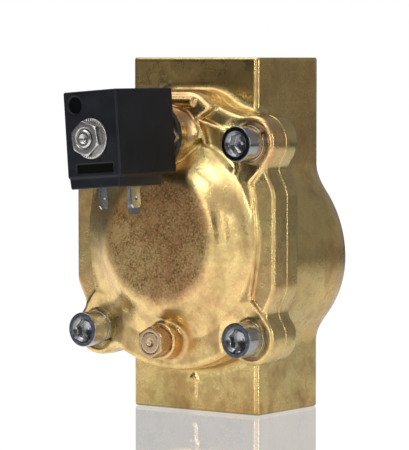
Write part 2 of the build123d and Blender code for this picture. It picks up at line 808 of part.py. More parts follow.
with BuildPart() as coil_bobbin:
    with BuildSketch(coil_plane(cavity_rear)):
        ring(winding_radius + 0.15, tube_outer + 0.15)
    extrude(amount=cavity_front - cavity_rear)
    with BuildSketch(coil_plane(cavity_rear + bobbin_flange)):
        ring(winding_radius + 0.15, bobbin_wall)
    extrude(amount=cavity_front - cavity_rear - 2 * bobbin_flange, mode=Mode.SUBTRACT)
coil_bobbin.part.label = "coil_bobbin"
export_step(coil_bobbin.part, "parts/coil_bobbin.step")

with BuildPart() as coil_winding:
    with BuildSketch(coil_plane(cavity_rear + bobbin_flange)):
        ring(winding_radius, bobbin_wall)
    extrude(amount=cavity_front - cavity_rear - 2 * bobbin_flange)
coil_winding.part.label = "coil_winding"
export_step(coil_winding.part, "parts/coil_winding.step")

with BuildPart() as coil_yoke:
    with BuildSketch(coil_plane(cavity_rear)):
        ring(yoke_radius, yoke_radius - yoke_wall)
    extrude(amount=cavity_front - cavity_rear)
coil_yoke.part.label = "coil_yoke"
export_step(coil_yoke.part, "parts/coil_yoke.step")

# ------------------------------------------------------------ terminal blades
with BuildPart() as live_terminals:
    for side in (-1, 1):
        root = blade_plane.from_local_coords(
            (side * blade_spacing / 2 - blade_thickness / 2, -connector_drop, 0)
        )
        with BuildSketch(Plane(origin=root, x_dir=(0, -1, 0), z_dir=blade_plane.x_dir)):
            blade_outline(live_blade_length)
        extrude(amount=blade_thickness)
live_terminals.part.label = "live_terminals"
export_step(live_terminals.part, "parts/live_terminals.step")

with BuildPart() as earth_terminal:
    earth_plane = coil_plane(earth_blade_height - blade_thickness / 2)
    root = earth_plane.from_local_coords((0, -connector_drop, 0))
    with BuildSketch(Plane(origin=root, x_dir=-earth_plane.x_dir, z_dir=(0, -1, 0))):
        blade_outline(earth_blade_length)
    extrude(amount=blade_thickness)
earth_terminal.part.label = "earth_terminal"
export_step(earth_terminal.part, "parts/earth_terminal.step")

# ------------------------------------------------------- coil washer and nut
with BuildPart() as coil_washer:
    with BuildSketch(pilot_plane(coil_front)):
        ring(coil_washer_radius, stud_radius + 0.2)
    extrude(amount=coil_washer_thickness)
    fillet(coil_washer.edges().group_by(Axis.Y)[0].sort_by(SortBy.LENGTH)[-1], radius=0.4)
coil_washer.part.label = "coil_washer"
export_step(coil_washer.part, "parts/coil_washer.step")

with BuildPart() as coil_nut:
    nut_foot = coil_front + coil_washer_thickness
    with BuildSketch(pilot_plane(nut_foot)):
        RegularPolygon(coil_nut_width / 2, 6, major_radius=False, rotation=coil_nut_rotation)
    extrude(amount=coil_nut_thickness)
    # Corners turned down on both faces
    with BuildSketch(Plane.XY.offset(pilot_z)):
        Polygon(
            (0, -nut_foot),
            (coil_nut_width / 2, -nut_foot),
            (coil_nut_width / 2 + nut_corner_width, -nut_foot - nut_corner_height),
            (coil_nut_width / 2 + nut_corner_width, -nut_foot - coil_nut_thickness + nut_corner_height),
            (coil_nut_width / 2, -nut_foot - coil_nut_thickness),
            (0, -nut_foot - coil_nut_thickness),
            align=None,
        )
    revolve(axis=Axis((0, 0, pilot_z), (0, 1, 0)), mode=Mode.INTERSECT)
    with BuildSketch(pilot_plane(nut_foot)):
        Circle(stud_radius + 0.02)
    extrude(amount=coil_nut_thickness, mode=Mode.SUBTRACT)
coil_nut.part.label = "coil_nut"
export_step(coil_nut.part, "parts/coil_nut.step")
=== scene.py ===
import json
import math

import bmesh
import bpy
import numpy as np
from mathutils import Matrix, Vector


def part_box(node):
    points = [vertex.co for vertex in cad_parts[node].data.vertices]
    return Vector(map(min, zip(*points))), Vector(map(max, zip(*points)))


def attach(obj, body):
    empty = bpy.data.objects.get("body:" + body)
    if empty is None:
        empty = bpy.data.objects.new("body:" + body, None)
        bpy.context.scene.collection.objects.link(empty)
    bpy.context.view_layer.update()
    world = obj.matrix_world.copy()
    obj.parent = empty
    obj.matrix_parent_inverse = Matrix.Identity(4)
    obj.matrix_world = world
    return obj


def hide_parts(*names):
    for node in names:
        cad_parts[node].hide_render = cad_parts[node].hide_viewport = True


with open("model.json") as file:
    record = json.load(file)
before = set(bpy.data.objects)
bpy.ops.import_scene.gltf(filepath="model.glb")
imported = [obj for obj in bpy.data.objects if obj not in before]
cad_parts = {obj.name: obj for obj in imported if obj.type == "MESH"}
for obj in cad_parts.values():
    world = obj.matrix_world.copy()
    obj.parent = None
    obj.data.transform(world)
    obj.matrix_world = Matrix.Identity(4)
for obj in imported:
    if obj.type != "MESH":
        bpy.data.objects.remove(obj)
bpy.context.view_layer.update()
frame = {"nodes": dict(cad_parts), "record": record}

MM = 0.001


# ------------------------------------------------------------------ places, from the frame
def span(node):
    """Lowest and highest corner of a CAD node, in millimetres."""
    low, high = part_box(node)
    return np.array(low) / MM, np.array(high) / MM


BODY_HIGH = span("valve_body")[1]
COVER_HIGH = span("cover")[1]
WASHERS_HIGH = span("cover_lock_washers")[1]
SCREWS_LOW, SCREWS_HIGH = span("cover_screws")
PLUG_LOW, PLUG_HIGH = span("bleed_plug")
GASKET_LOW, GASKET_HIGH = span("bleed_plug_gasket")
COIL_LOW, COIL_HIGH = span("coil_housing")
CORE_LOW, CORE_HIGH = span("fixed_core")
NUT_LOW, NUT_HIGH = span("coil_nut")
COLLAR_HIGH = span("tube_collar_seal")[1]
MOUNTS = {m["name"]: m for m in frame["record"]["mounts"]}

# Sizes that the frame doesn't carry, in millimetres. Heights h run along the flange's axis, out of the body.
HALF = 36.0
BLOCK_EDGE = 2.4
REAR_CORNER = 23.5
END_EDGE = 0.9
BOWL_Z = 70.5
BOWL_CORE = 22.0
BOWL_ROUND = 30.0
BOWL_REAR = 3.0
FLANGE_THICKNESS = 9.0
FLANGE_RADIUS = 61.0
BOLT_LOBE_RADIUS = 12.5
PILOT_LOBE_TOP = 67.5
THREAD_PITCH = 2.309
THREAD_DEPTH = 1.3
INLET_RADIUS = 24.0
OUTLET_RADIUS = 22.0
CHAMBER_RADIUS = 43.0
CHAMBER_FLOOR = 27.0
CHAMBER_CEILING = 59.5
SEAT_OUTER = 28.0
SEAT_BORE = 23.0
SEAT_FACE = 39.0
BODY_SCREW_BORE = 5.1
COVER_SCREW_BORE = 5.6
SPOT_FACE_RADIUS = 8.9
CROWN_RADIUS = 32.0
CROWN_TOP = 64.5
STEM_RADIUS = 14.7
PILOT_WELL_RADIUS = 9.1
PLUG_BOSS_RADIUS = 8.4
PLUG_BORE = 4.95
HEAD_RADIUS = 8.0
HEAD_HEIGHT = 10.0
WASHER_TEETH = 44
COIL_BORE = 6.82
COIL_TURN = 4.2

LENGTH = BODY_HIGH[2]
JOINT = -COVER_HIGH[1]
FACE = -WASHERS_HIGH[1]
FLANGE_Z = (SCREWS_LOW[2] + SCREWS_HIGH[2]) / 2
BOLT = (SCREWS_HIGH[0] - SCREWS_LOW[0]) / 2 - HEAD_RADIUS
FLAT = BODY_HIGH[0]
PORT_RADIUS = MOUNTS["inlet_port"]["dims"]["r_mm"]
PORT_DEPTH = MOUNTS["inlet_port"]["dims"]["length_mm"]
PILOT_Z = (CORE_LOW[2] + CORE_HIGH[2]) / 2
PLUG_Z = (PLUG_LOW[2] + PLUG_HIGH[2]) / 2
BOSS_TOP = -COLLAR_HIGH[1]
PLUG_BOSS_TOP = -GASKET_HIGH[1]
FLANGE_REAR = JOINT - FLANGE_THICKNESS


# ------------------------------------------------------------------ distance fields, in millimetres
def smooth_union(a, b, k):
    h = np.maximum(k - np.abs(a - b), 0.0) / k
    return np.minimum(a, b) - h * h * k / 4


def smooth_cut(a, b, k):
    """a without b, its new edge rounded by about k."""
    h = np.maximum(k - np.abs(a + b), 0.0) / k
    return np.maximum(a, -b) + h * h * k / 4


def smooth_both(a, b, k):
    h = np.maximum(k - np.abs(a - b), 0.0) / k
    return np.maximum(a, b) + h * h * k / 4


def box2(x, y, hx, hy, r=0.0):
    qx, qy = np.abs(x) - hx + r, np.abs(y) - hy + r
    return np.hypot(np.maximum(qx, 0), np.maximum(qy, 0)) + np.minimum(np.maximum(qx, qy), 0) - r


def slab(d2, h, low, high, r):
    """A plane outline d2 given thickness from low to high along h, with edges of radius r."""
    dh = np.abs(h - (low + high) / 2) - (high - low) / 2
    qx, qy = d2 + r, dh + r
    return np.hypot(np.maximum(qx, 0), np.maximum(qy, 0)) + np.minimum(np.maximum(qx, qy), 0) - r


def above_line(ax, v, x1, v1, x2, v2):
    """Distance from the line through two points, positive above it."""
    length = math.hypot(x2 - x1, v2 - v1)
    return ((v - v1) * (x2 - x1) - (ax - x1) * (v2 - v1)) / length


def segment(x, v, x1, v1, x2, v2):
    """Distance to a line piece between two points."""
    dx, dv = x2 - x1, v2 - v1
    t = np.clip(((x - x1) * dx + (v - v1) * dv) / (dx * dx + dv * dv), 0, 1)
    return np.hypot(x - x1 - t * dx, v - v1 - t * dv)


def flange_outline(x, v):
    """Round flange with trimmed flat sides, bolt lobes and the pilot lobe; v is up from its centre."""
    d = np.hypot(x, v) - FLANGE_RADIUS
    lobes = np.hypot(np.abs(x) - BOLT, np.abs(v) - BOLT) - BOLT_LOBE_RADIUS
    d = smooth_union(d, lobes, 5.0)
    ax = np.abs(x)
    steep = above_line(ax, v, 15.0, PILOT_LOBE_TOP, 24.3, 60.3)
    gentle = above_line(ax, v, 24.3, 60.3, 39.6, 55.4)
    lobe = smooth_both(smooth_union(steep, gentle, 2.0), v - PILOT_LOBE_TOP, 4.0)
    lobe = smooth_both(lobe, np.maximum(ax - 42, 40 - v), 0.5)
    d = smooth_union(d, lobe, 3.0)
    return smooth_both(d, ax - FLAT, 0.8)


def lobe_flare(h, v):
    """How far the pilot lobe's flank has spread at a height, in a hollow curve down to the block."""
    low = np.clip((v - 46.0) / 8.0, 0, 1) * np.clip((68.0 - v) / 4.0, 0, 1)
    return 0.9 * np.clip((FACE + 5 - h) / 21.5, 0, 1.2) ** 2 * low


def thread(rho, angle, along, radius, pitch, depth):
    """Internal thread: the hole's radius grows into the wall between the crests."""
    phase = (along / pitch - angle / (2 * math.pi)) % 1.0
    ridge = np.clip(np.abs(phase - 0.5) * 2.6 - 0.3, 0, 1)
    return rho - radius - depth * (1 - ridge)


def body_field(p):
    x, y, z = p
    h = -y
    block = box2(x, y, HALF, HALF, BLOCK_EDGE)
    corner = (np.abs(x) + y - (2 * HALF - REAR_CORNER)) * 0.7071
    block = smooth_both(block, corner, 3.0)
    block = slab(block, z, 0.0, LENGTH, END_EDGE)
    # Bowl around the seat, fuller above than below
    vz = z - BOWL_Z
    rho = np.hypot(x, vz * (1.04 - 0.06 * np.tanh(vz / 15.0)))
    qx, qy = rho - BOWL_CORE, y - BOWL_REAR
    bowl = np.hypot(np.maximum(qx, 0), np.maximum(qy, 0)) + np.minimum(np.maximum(qx, qy), 0) - BOWL_ROUND
    bowl = np.maximum(bowl, -(y + HALF))
    d = smooth_union(block, bowl, 5.0)
    # Flange: its neck flares out of the bowl and the block
    v = z - FLANGE_Z
    outline = flange_outline(x, v) + 0.06 * (JOINT - h) + 0.4 * np.maximum(FLANGE_REAR + 0.6 - h, 0)
    outline = outline - lobe_flare(h, v)
    flange = smooth_both(np.maximum(outline, FLANGE_REAR - 1.8 - h), h - JOINT, 0.9)
    d = smooth_union(d, flange, 4.0)
    d = np.maximum(d, h - JOINT)
    shaft = np.abs(x) - 1.0
    head = np.maximum((np.abs(x) * 0.84 + (z - 18.5) * 0.54), 14.2 - z)
    bar = np.maximum(shaft, np.maximum(6.0 - z, z - 15.0))
    arrow = slab(np.minimum(head, bar), h, HALF - 1, HALF + 0.6, 0.25)
    d = smooth_union(d, arrow, 0.7)
    # Ports with their threads and the passages behind them
    angle = np.arctan2(y, x)
    axis_rho = np.hypot(x, y)
    for inward in (z, LENGTH - z):
        port = thread(axis_rho, angle, inward, PORT_RADIUS, THREAD_PITCH, THREAD_DEPTH)
        port = np.maximum(port, inward - PORT_DEPTH)
        mouth = axis_rho - (PORT_RADIUS + 2.0) + inward
        d = np.maximum(d, -np.minimum(port, np.maximum(mouth, inward - 6)))
    inlet = np.maximum(axis_rho - INLET_RADIUS, np.maximum(z - 52.0, 20.0 - z))
    outlet = np.hypot(x, y - BOWL_REAR) - OUTLET_RADIUS
    outlet = np.maximum(outlet, np.maximum(FLANGE_Z - z, z - LENGTH + 20.0))
    d = smooth_cut(d, inlet, 2.0)
    d = smooth_cut(d, outlet, 2.0)
    seat_rho = np.hypot(x, v)
    wall = np.maximum(seat_rho - CHAMBER_RADIUS, SEAT_OUTER - seat_rho)
    chamber = np.maximum(wall, CHAMBER_FLOOR - h)
    deep = np.maximum(np.maximum(wall, -5.0 - h), v + 10.0)
    d = smooth_cut(d, np.minimum(chamber, deep), 2.0)
    d = np.maximum(d, -np.maximum(seat_rho - (SEAT_OUTER + 1.0), SEAT_FACE - h))
    d = np.maximum(d, -np.maximum(seat_rho - SEAT_BORE, np.maximum(-14.0 - h, h - 45)))
    holes = np.hypot(np.abs(x) - BOLT, np.abs(v) - BOLT) - BODY_SCREW_BORE
    return np.maximum(d, -holes)


def cover_field(p):
    x, y, z = p
    h = -y
    v = z - FLANGE_Z
    rho = np.hypot(x, v)
    ax, av = np.abs(x), np.abs(v)
    bolts = np.hypot(ax - BOLT, av - BOLT)
    outline = flange_outline(x, v) + 0.04 * (h - JOINT) - lobe_flare(h, v)
    d = smooth_both(slab(outline, h, JOINT - 5, FACE, 1.5), JOINT - h, 0.9)
    # Raised ground above and below the dome, falling towards the screws and rising to the pilot lobe;
    # the apron beside the dome and a triangular pocket on each side of the pad stay low
    rise = 2.2 + (0.22 * np.clip(58.0 - v, 0, 8) - 1.9) * np.clip((v - 46.0) / 6.0, 0, 1)
    top = FACE + 0.1 + rise * np.clip((bolts - 8.5) / 8.0, 0, 1)
    apron = smooth_both(47.5 - 0.0046 * av ** 2 - ax, above_line(ax, av, 44.4, 25.9, 51.2, 34.0), 1.0)
    pocket = smooth_both(above_line(ax, v, 14.0, 55.0, 28.2, 49.3), np.maximum(ax - 36.0, 30.0 - v), 1.0)
    hollow = np.minimum(apron, pocket)
    ground = smooth_both(outline, h - top, 2.5)
    ground = smooth_both(np.maximum(ground, JOINT + 1 - h), -hollow, 1.2)
    d = smooth_union(d, ground, 1.0)
    # The pilot lobe's raised table, its upper corners cut off and well rounded
    table = smooth_both(above_line(ax, v, 13.5, 68.9, 25.0, 60.0), -above_line(ax, v, 16.5, 54.4, 25.0, 60.0), 1.5)
    table = smooth_both(np.maximum(table, outline), h - FACE - 5.6 + 0.2 * np.clip(v - 54.0, 0, 12), 2.4)
    d = smooth_union(d, np.maximum(table, JOINT + 1 - h), 1.0)
    # Dome: flat crown, steep flank, gently falling shoulder and a small step at the foot
    crown = smooth_both(0.697 * (rho - CROWN_RADIUS) + 0.716 * (h - CROWN_TOP), h - CROWN_TOP, 4.5)
    shoulder = smooth_both(0.308 * (rho - 39.5) + 0.951 * (h - 57.2), 0.901 * (rho - 46.3) + 0.433 * (h - 55.0), 1.6)
    dome = smooth_union(crown, np.maximum(shoulder, h - 58.6), 4.0)
    dome = np.maximum(dome, JOINT + 1 - h)
    d = smooth_union(d, dome, 1.5)
    # Pilot boss: a hollow flare from the collar out to an oval pad, with a ridge across the lobe above it
    w = z - PILOT_Z
    oval = (np.hypot(x / 17.6, (w - 1.2) / 12.0) - 1.0) * 12.0
    pad = slab(oval, h, JOINT + 1, FACE + 5.0, 0.8)
    d = smooth_union(d, pad, 1.2)
    ridge = slab(box2(x, v - 62.5, 15.2, 2.1, 0.4), h, JOINT + 1, FACE + 6.4, 1.6)
    d = smooth_union(d, ridge, 1.0)
    stem = np.hypot(x, w) - STEM_RADIUS
    reach = (np.hypot(x / 17.6, (w - 1.2) / np.where(w > 1.2, 13.2, 12.0)) - 1.0) * 12.0
    flare = np.maximum((stem - 0.044 * np.maximum(BOSS_TOP - h, 0) ** 2) * 0.8, reach)
    boss = smooth_both(np.minimum(stem, flare), np.maximum(h - BOSS_TOP, FACE + 2 - h), 0.5)
    d = smooth_union(d, boss, 0.8)
    # Thin webs from the corner of the pad to the dome and to the upper screw
    webs = np.minimum(segment(ax, v, 16.5, 54.4, 20.0, 44.0), segment(ax, v, 16.5, 54.4, 31.0, 49.6)) - 0.8
    web_top = FACE + 5.1 - 0.16 * np.hypot(ax - 16.5, v - 54.4)
    d = smooth_union(d, smooth_both(webs, np.maximum(h - web_top, FACE - 1 - h), 0.7), 1.2)
    # Bleed plug boss
    plug = np.maximum(np.hypot(x, z - PLUG_Z) - PLUG_BOSS_RADIUS, np.maximum(h - PLUG_BOSS_TOP, JOINT + 1 - h))
    d = smooth_union(d, plug, 2.5)
    # Spot faces under the screws
    d = smooth_cut(d, np.maximum(bolts - SPOT_FACE_RADIUS, FACE + 0.02 - h), 0.8)
    d = np.maximum(d, -(bolts - COVER_SCREW_BORE))
    # Control chamber and the pilot well
    recess = np.maximum(rho - 51.9, h - JOINT - 2.0)
    slope = (rho - CHAMBER_RADIUS) * 0.61 + (h - JOINT - 4.5) * 0.79
    inner = np.maximum(slope, np.maximum(rho - CHAMBER_RADIUS, h - CHAMBER_CEILING))
    d = np.maximum(d, -np.minimum(recess, inner))
    well = np.maximum(np.hypot(x, w) - PILOT_WELL_RADIUS, 58.5 - h)
    d = np.maximum(d, -well)
    bore = np.maximum(np.hypot(x, z - PLUG_Z) - PLUG_BORE, 50.0 - h)
    return np.maximum(d, -bore)


def hexagon(x, z, width, turn=0.0):
    """Distance to a hexagon of the given width across flats, its flats turned by an angle in degrees."""
    angles = [math.radians(turn + 60 * i) for i in range(3)]
    return np.max([np.abs(x * math.cos(a) + z * math.sin(a)) for a in angles], axis=0) - width / 2


def screw_field(p):
    """Socket cap screw with its head's seat at h = 0, local axis along h."""
    x, y, z = p
    h = -y
    rho = np.hypot(x, z)
    d = slab(rho - HEAD_RADIUS, h, 0.0, HEAD_HEIGHT, 0.55)
    shank = slab(rho - 4.98 + 0.25 * np.abs((h / 1.5) % 1.0 - 0.5) * (h < -8), h, -20.0, 1.0, 0.4)
    d = np.minimum(d, shank)
    socket = np.maximum(hexagon(x, z, 8.0, 14.0), 4.6 - h + 0.12 * rho)
    mouth = (rho - 5.8 - (h - HEAD_HEIGHT)) * 0.7071
    d = smooth_cut(d, socket, 0.25)
    return smooth_cut(d, mouth, 0.2)


def lock_washer_field(p):
    """Split spring washer lying on h = 0, square section, ends parted by a slanted slit."""
    x, y, z = p
    h = -y
    rho = np.hypot(x, z)
    ring_outline = np.abs(rho - 6.65) - 1.45
    d = slab(ring_outline, h, 0.0, 2.15, 0.3)
    slit = np.maximum(np.abs(z + (h - 1.1) * 0.5) - 0.45, -x)
    return smooth_cut(d, slit, 0.2)


def plug_field(p):
    """Hexagon-headed bleed plug, its head's seat at h = 0."""
    x, y, z = p
    h = -y
    rho = np.hypot(x, z)
    top = -PLUG_LOW[1] + GASKET_LOW[1]
    d = slab(hexagon(x, z, 13.0, 0.0), h, 0.0, top, 0.25)
    d = smooth_both(d, (rho - 6.9) * 0.5 + (h - top) * 0.866, 0.3)
    d = np.minimum(d, slab(rho - 4.8, h, -12.0, 1.0, 0.4))
    face_ring = np.maximum(np.abs(rho - 4.9) - 0.25, top - 0.07 - h)
    dimple = rho * 0.62 - 1.1 - (h - top) * 0.8
    d = smooth_cut(d, face_ring, 0.2)
    return smooth_cut(d, np.maximum(dimple, rho - 2.0), 0.3)


def nut_field(p):
    """Coil nut with its top face turned down at the corners and its bore widened at the top."""
    x, y, z = p
    h = -y
    rho = np.hypot(x, z)
    tall = NUT_HIGH[1] - NUT_LOW[1]
    d = slab(hexagon(x, z, 14.0, 12.0), h, 0.0, tall, 0.2)
    d = smooth_both(d, (rho - 7.2) * 0.5 + (h - tall) * 0.866, 0.3)
    bore = rho - 4.05 - np.maximum(h - tall + 0.8, 0.0)
    return smooth_cut(d, bore, 0.15)


def washer_field(p):
    """Serrated round washer under the coil nut."""
    x, y, z = p
    h = -y
    rho = np.hypot(x, z)
    teeth = 0.09 * np.cos(WASHER_TEETH * np.arctan2(z, x)) * np.clip((rho - 7.4) / 0.8, 0, 1)
    return slab(np.abs(rho - 6.6) - 2.4, h, 0.0, 1.1 + teeth, 0.3)


def coil_field(p):
    """Moulded coil in its own turned frame: x across, z up from the pilot axis, y along the axis."""
    x, y, z = p
    h = -y
    front, rear = -COIL_LOW[1], -COIL_HIGH[1]
    d = slab(box2(x, z - 2.0, 15.0, 19.2, 0.9), h, rear, front, 0.9)
    taper = np.clip((-17.2 - z) / 5.0, 0, 1)
    base = slab(box2(x, z + 18.0, 14.2 - 0.5 * taper, 4.1, 0.6), h, front - 31.0, front - 0.25, 0.6)
    d = smooth_union(d, base, 0.8)
    well = np.maximum(np.hypot(x + 8.6, z - 15.2) - 3.9, front - 0.55 - h)
    strip = np.maximum(box2(x - 0.7, z + 13.2, 10.3, 2.1, 0.6), front - 0.45 - h)
    d = smooth_cut(d, well, 0.12)
    d = smooth_cut(d, strip, 0.12)
    seam = np.maximum(np.abs(h - (front - 27.0)) - 0.12, -d - 0.18)
    d = np.maximum(d, -seam)
    rho = np.hypot(x, z)
    d = np.maximum(d, -(rho - COIL_BORE))
    d = np.maximum(d, -np.maximum(rho - 13.05, np.abs(h - (rear + front) / 2 + 0.5) - 17.15))
    screw = np.maximum(np.hypot(x, h - 95.0) - 1.25, z + 15.1)
    return np.maximum(d, -screw)


# ------------------------------------------------------------------ surface nets
def net_mesh(name, field, low, high, step):
    """Quads on the zero surface of a distance field: one vertex per crossed cell, then moved onto the surface."""
    axes = [np.arange(a - 2 * step, b + 2.5 * step, step) for a, b in zip(low, high)]
    shape = [len(a) for a in axes]
    values = np.empty(shape, np.float32)
    gy, gz = np.meshgrid(axes[1], axes[2], indexing="ij")
    for i, x in enumerate(axes[0]):
        values[i] = field((np.full_like(gy, x), gy, gz))
    inside = values < 0
    cells = [n - 1 for n in shape]
    total = np.zeros(cells + [3], np.float32)
    count = np.zeros(cells, np.float32)
    for axis in range(3):
        others = [a for a in range(3) if a != axis]
        first = [slice(None)] * 3
        second = [slice(None)] * 3
        first[axis] = slice(0, -1)
        second[axis] = slice(1, None)
        va, vb = values[tuple(first)], values[tuple(second)]
        crossed = inside[tuple(first)] != inside[tuple(second)]
        share = np.where(crossed, va / np.where(crossed, va - vb, 1), 0)
        for da in (0, 1):
            for db in (0, 1):
                pick = [slice(None)] * 3
                pick[others[0]] = slice(da, da + cells[others[0]])
                pick[others[1]] = slice(db, db + cells[others[1]])
                c = crossed[tuple(pick)]
                count += c
                total[..., axis] += share[tuple(pick)] * c
                total[..., others[0]] += da * c
                total[..., others[1]] += db * c
    active = count > 0
    index = np.full(cells, -1, np.int64)
    index[active] = np.arange(int(active.sum()))
    where = np.argwhere(active)
    points = (where + total[active] / count[active][:, None]) * step
    points += np.array([a[0] for a in axes])
    quads = []
    for axis in range(3):
        u, w = (axis + 1) % 3, (axis + 2) % 3
        first = [slice(None)] * 3
        second = [slice(None)] * 3
        first[axis] = slice(0, -1)
        second[axis] = slice(1, None)
        a, b = inside[tuple(first)], inside[tuple(second)]
        for flip, mask in ((False, a & ~b), (True, ~a & b)):
            at = np.argwhere(mask)
            at = at[(at[:, u] > 0) & (at[:, w] > 0)]
            corners = []
            for du, dw in ((-1, -1), (0, -1), (0, 0), (-1, 0)):
                c = at.copy()
                c[:, u] += du
                c[:, w] += dw
                corners.append(index[c[:, 0], c[:, 1], c[:, 2]])
            quads.append(np.stack(corners[::-1] if flip else corners, 1))
    quads = np.concatenate(quads)
    for _ in range(3):
        value = field(points.T)
        gradient = np.empty_like(points)
        for axis in range(3):
            ahead = points.copy()
            ahead[:, axis] += 0.05
            gradient[:, axis] = (field(ahead.T) - value) / 0.05
        square = np.maximum((gradient ** 2).sum(1), 0.2)
        move = -(value / square)[:, None] * gradient
        size = np.maximum(np.linalg.norm(move, axis=1, keepdims=True), 1e-9)
        points += move * np.minimum(1, 0.4 * step / size)
    mesh = bpy.data.meshes.new(name)
    mesh.from_pydata([], [], [])
    mesh.vertices.add(len(points))
    mesh.vertices.foreach_set("co", (points * MM).astype(np.float32).ravel())
    mesh.loops.add(len(quads) * 4)
    mesh.loops.foreach_set("vertex_index", quads.astype(np.int32).ravel())
    mesh.polygons.add(len(quads))
    mesh.polygons.foreach_set("loop_start", np.arange(0, len(quads) * 4, 4, dtype=np.int32))
    mesh.update(calc_edges=True)
    mesh.validate()
    mesh.shade_smooth()
    piece = bpy.data.objects.new(name, mesh)
    bpy.context.scene.collection.objects.link(piece)
    return piece


# ------------------------------------------------------------------ materials
def new_material(name):
    material = bpy.data.materials.new(name)
    material.use_nodes = True
    tree = material.node_tree
    return material, tree, tree.nodes["Principled BSDF"]


def noise(tree, where, scale, detail=4.0, rough=0.55):
    node = tree.nodes.new("ShaderNodeTexNoise")
    node.inputs["Scale"].default_value = scale
    node.inputs["Detail"].default_value = detail
    node.inputs["Roughness"].default_value = rough
    tree.links.new(where, node.inputs["Vector"])
    return node.outputs["Fac"]


def ramp(tree, value, stops):
    node = tree.nodes.new("ShaderNodeValToRGB")
    while len(node.color_ramp.elements) < len(stops):
        node.color_ramp.elements.new(0.5)
    for element, (at, colour) in zip(node.color_ramp.elements, stops):
        element.position = at
        element.color = (*colour, 1) if len(colour) == 3 else colour
    tree.links.new(value, node.inputs["Fac"])
    return node.outputs["Color"]


def remap(tree, value, a, b, c, d):
    node = tree.nodes.new("ShaderNodeMapRange")
    for socket, number in zip(("From Min", "From Max", "To Min", "To Max"), (a, b, c, d)):
        node.inputs[socket].default_value = number
    tree.links.new(value, node.inputs["Value"])
    return node.outputs["Result"]


def times(tree, a, b):
    node = tree.nodes.new("ShaderNodeMath")
    node.operation = "MULTIPLY"
    tree.links.new(a, node.inputs[0])
    tree.links.new(b, node.inputs[1])
    return node.outputs[0]


def mix(tree, factor, a, b, kind="MIX"):
    node = tree.nodes.new("ShaderNodeMix")
    node.data_type = "RGBA"
    node.blend_type = kind
    for socket, value in ((0, factor), (6, a), (7, b)):
        if isinstance(value, (int, float)):
            node.inputs[socket].default_value = value
        elif isinstance(value, tuple):
            node.inputs[socket].default_value = (*value, 1)
        else:
            tree.links.new(value, node.inputs[socket])
    return node.outputs[2]


def mix_shader(tree, factor, a, b):
    node = tree.nodes.new("ShaderNodeMixShader")
    for socket, output in enumerate((factor, a, b)):
        tree.links.new(output, node.inputs[socket])
    return node.outputs[0]


def bump(tree, height, strength, distance, before=None):
    node = tree.nodes.new("ShaderNodeBump")
    node.inputs["Strength"].default_value = strength
    node.inputs["Distance"].default_value = distance
    tree.links.new(height, node.inputs["Height"])
    if before:
        tree.links.new(before, node.inputs["Normal"])
    return node.outputs["Normal"]


def place(tree, scale=(1, 1, 1), turn=(0, 0, 0)):
    """Object coordinates, in metres, scaled and turned."""
    coordinates = tree.nodes.new("ShaderNodeTexCoord")
    mapping = tree.nodes.new("ShaderNodeMapping")
    mapping.inputs["Scale"].default_value = scale
    mapping.inputs["Rotation"].default_value = turn
    tree.links.new(coordinates.outputs["Object"], mapping.inputs["Vector"])
    return mapping.outputs["Vector"]


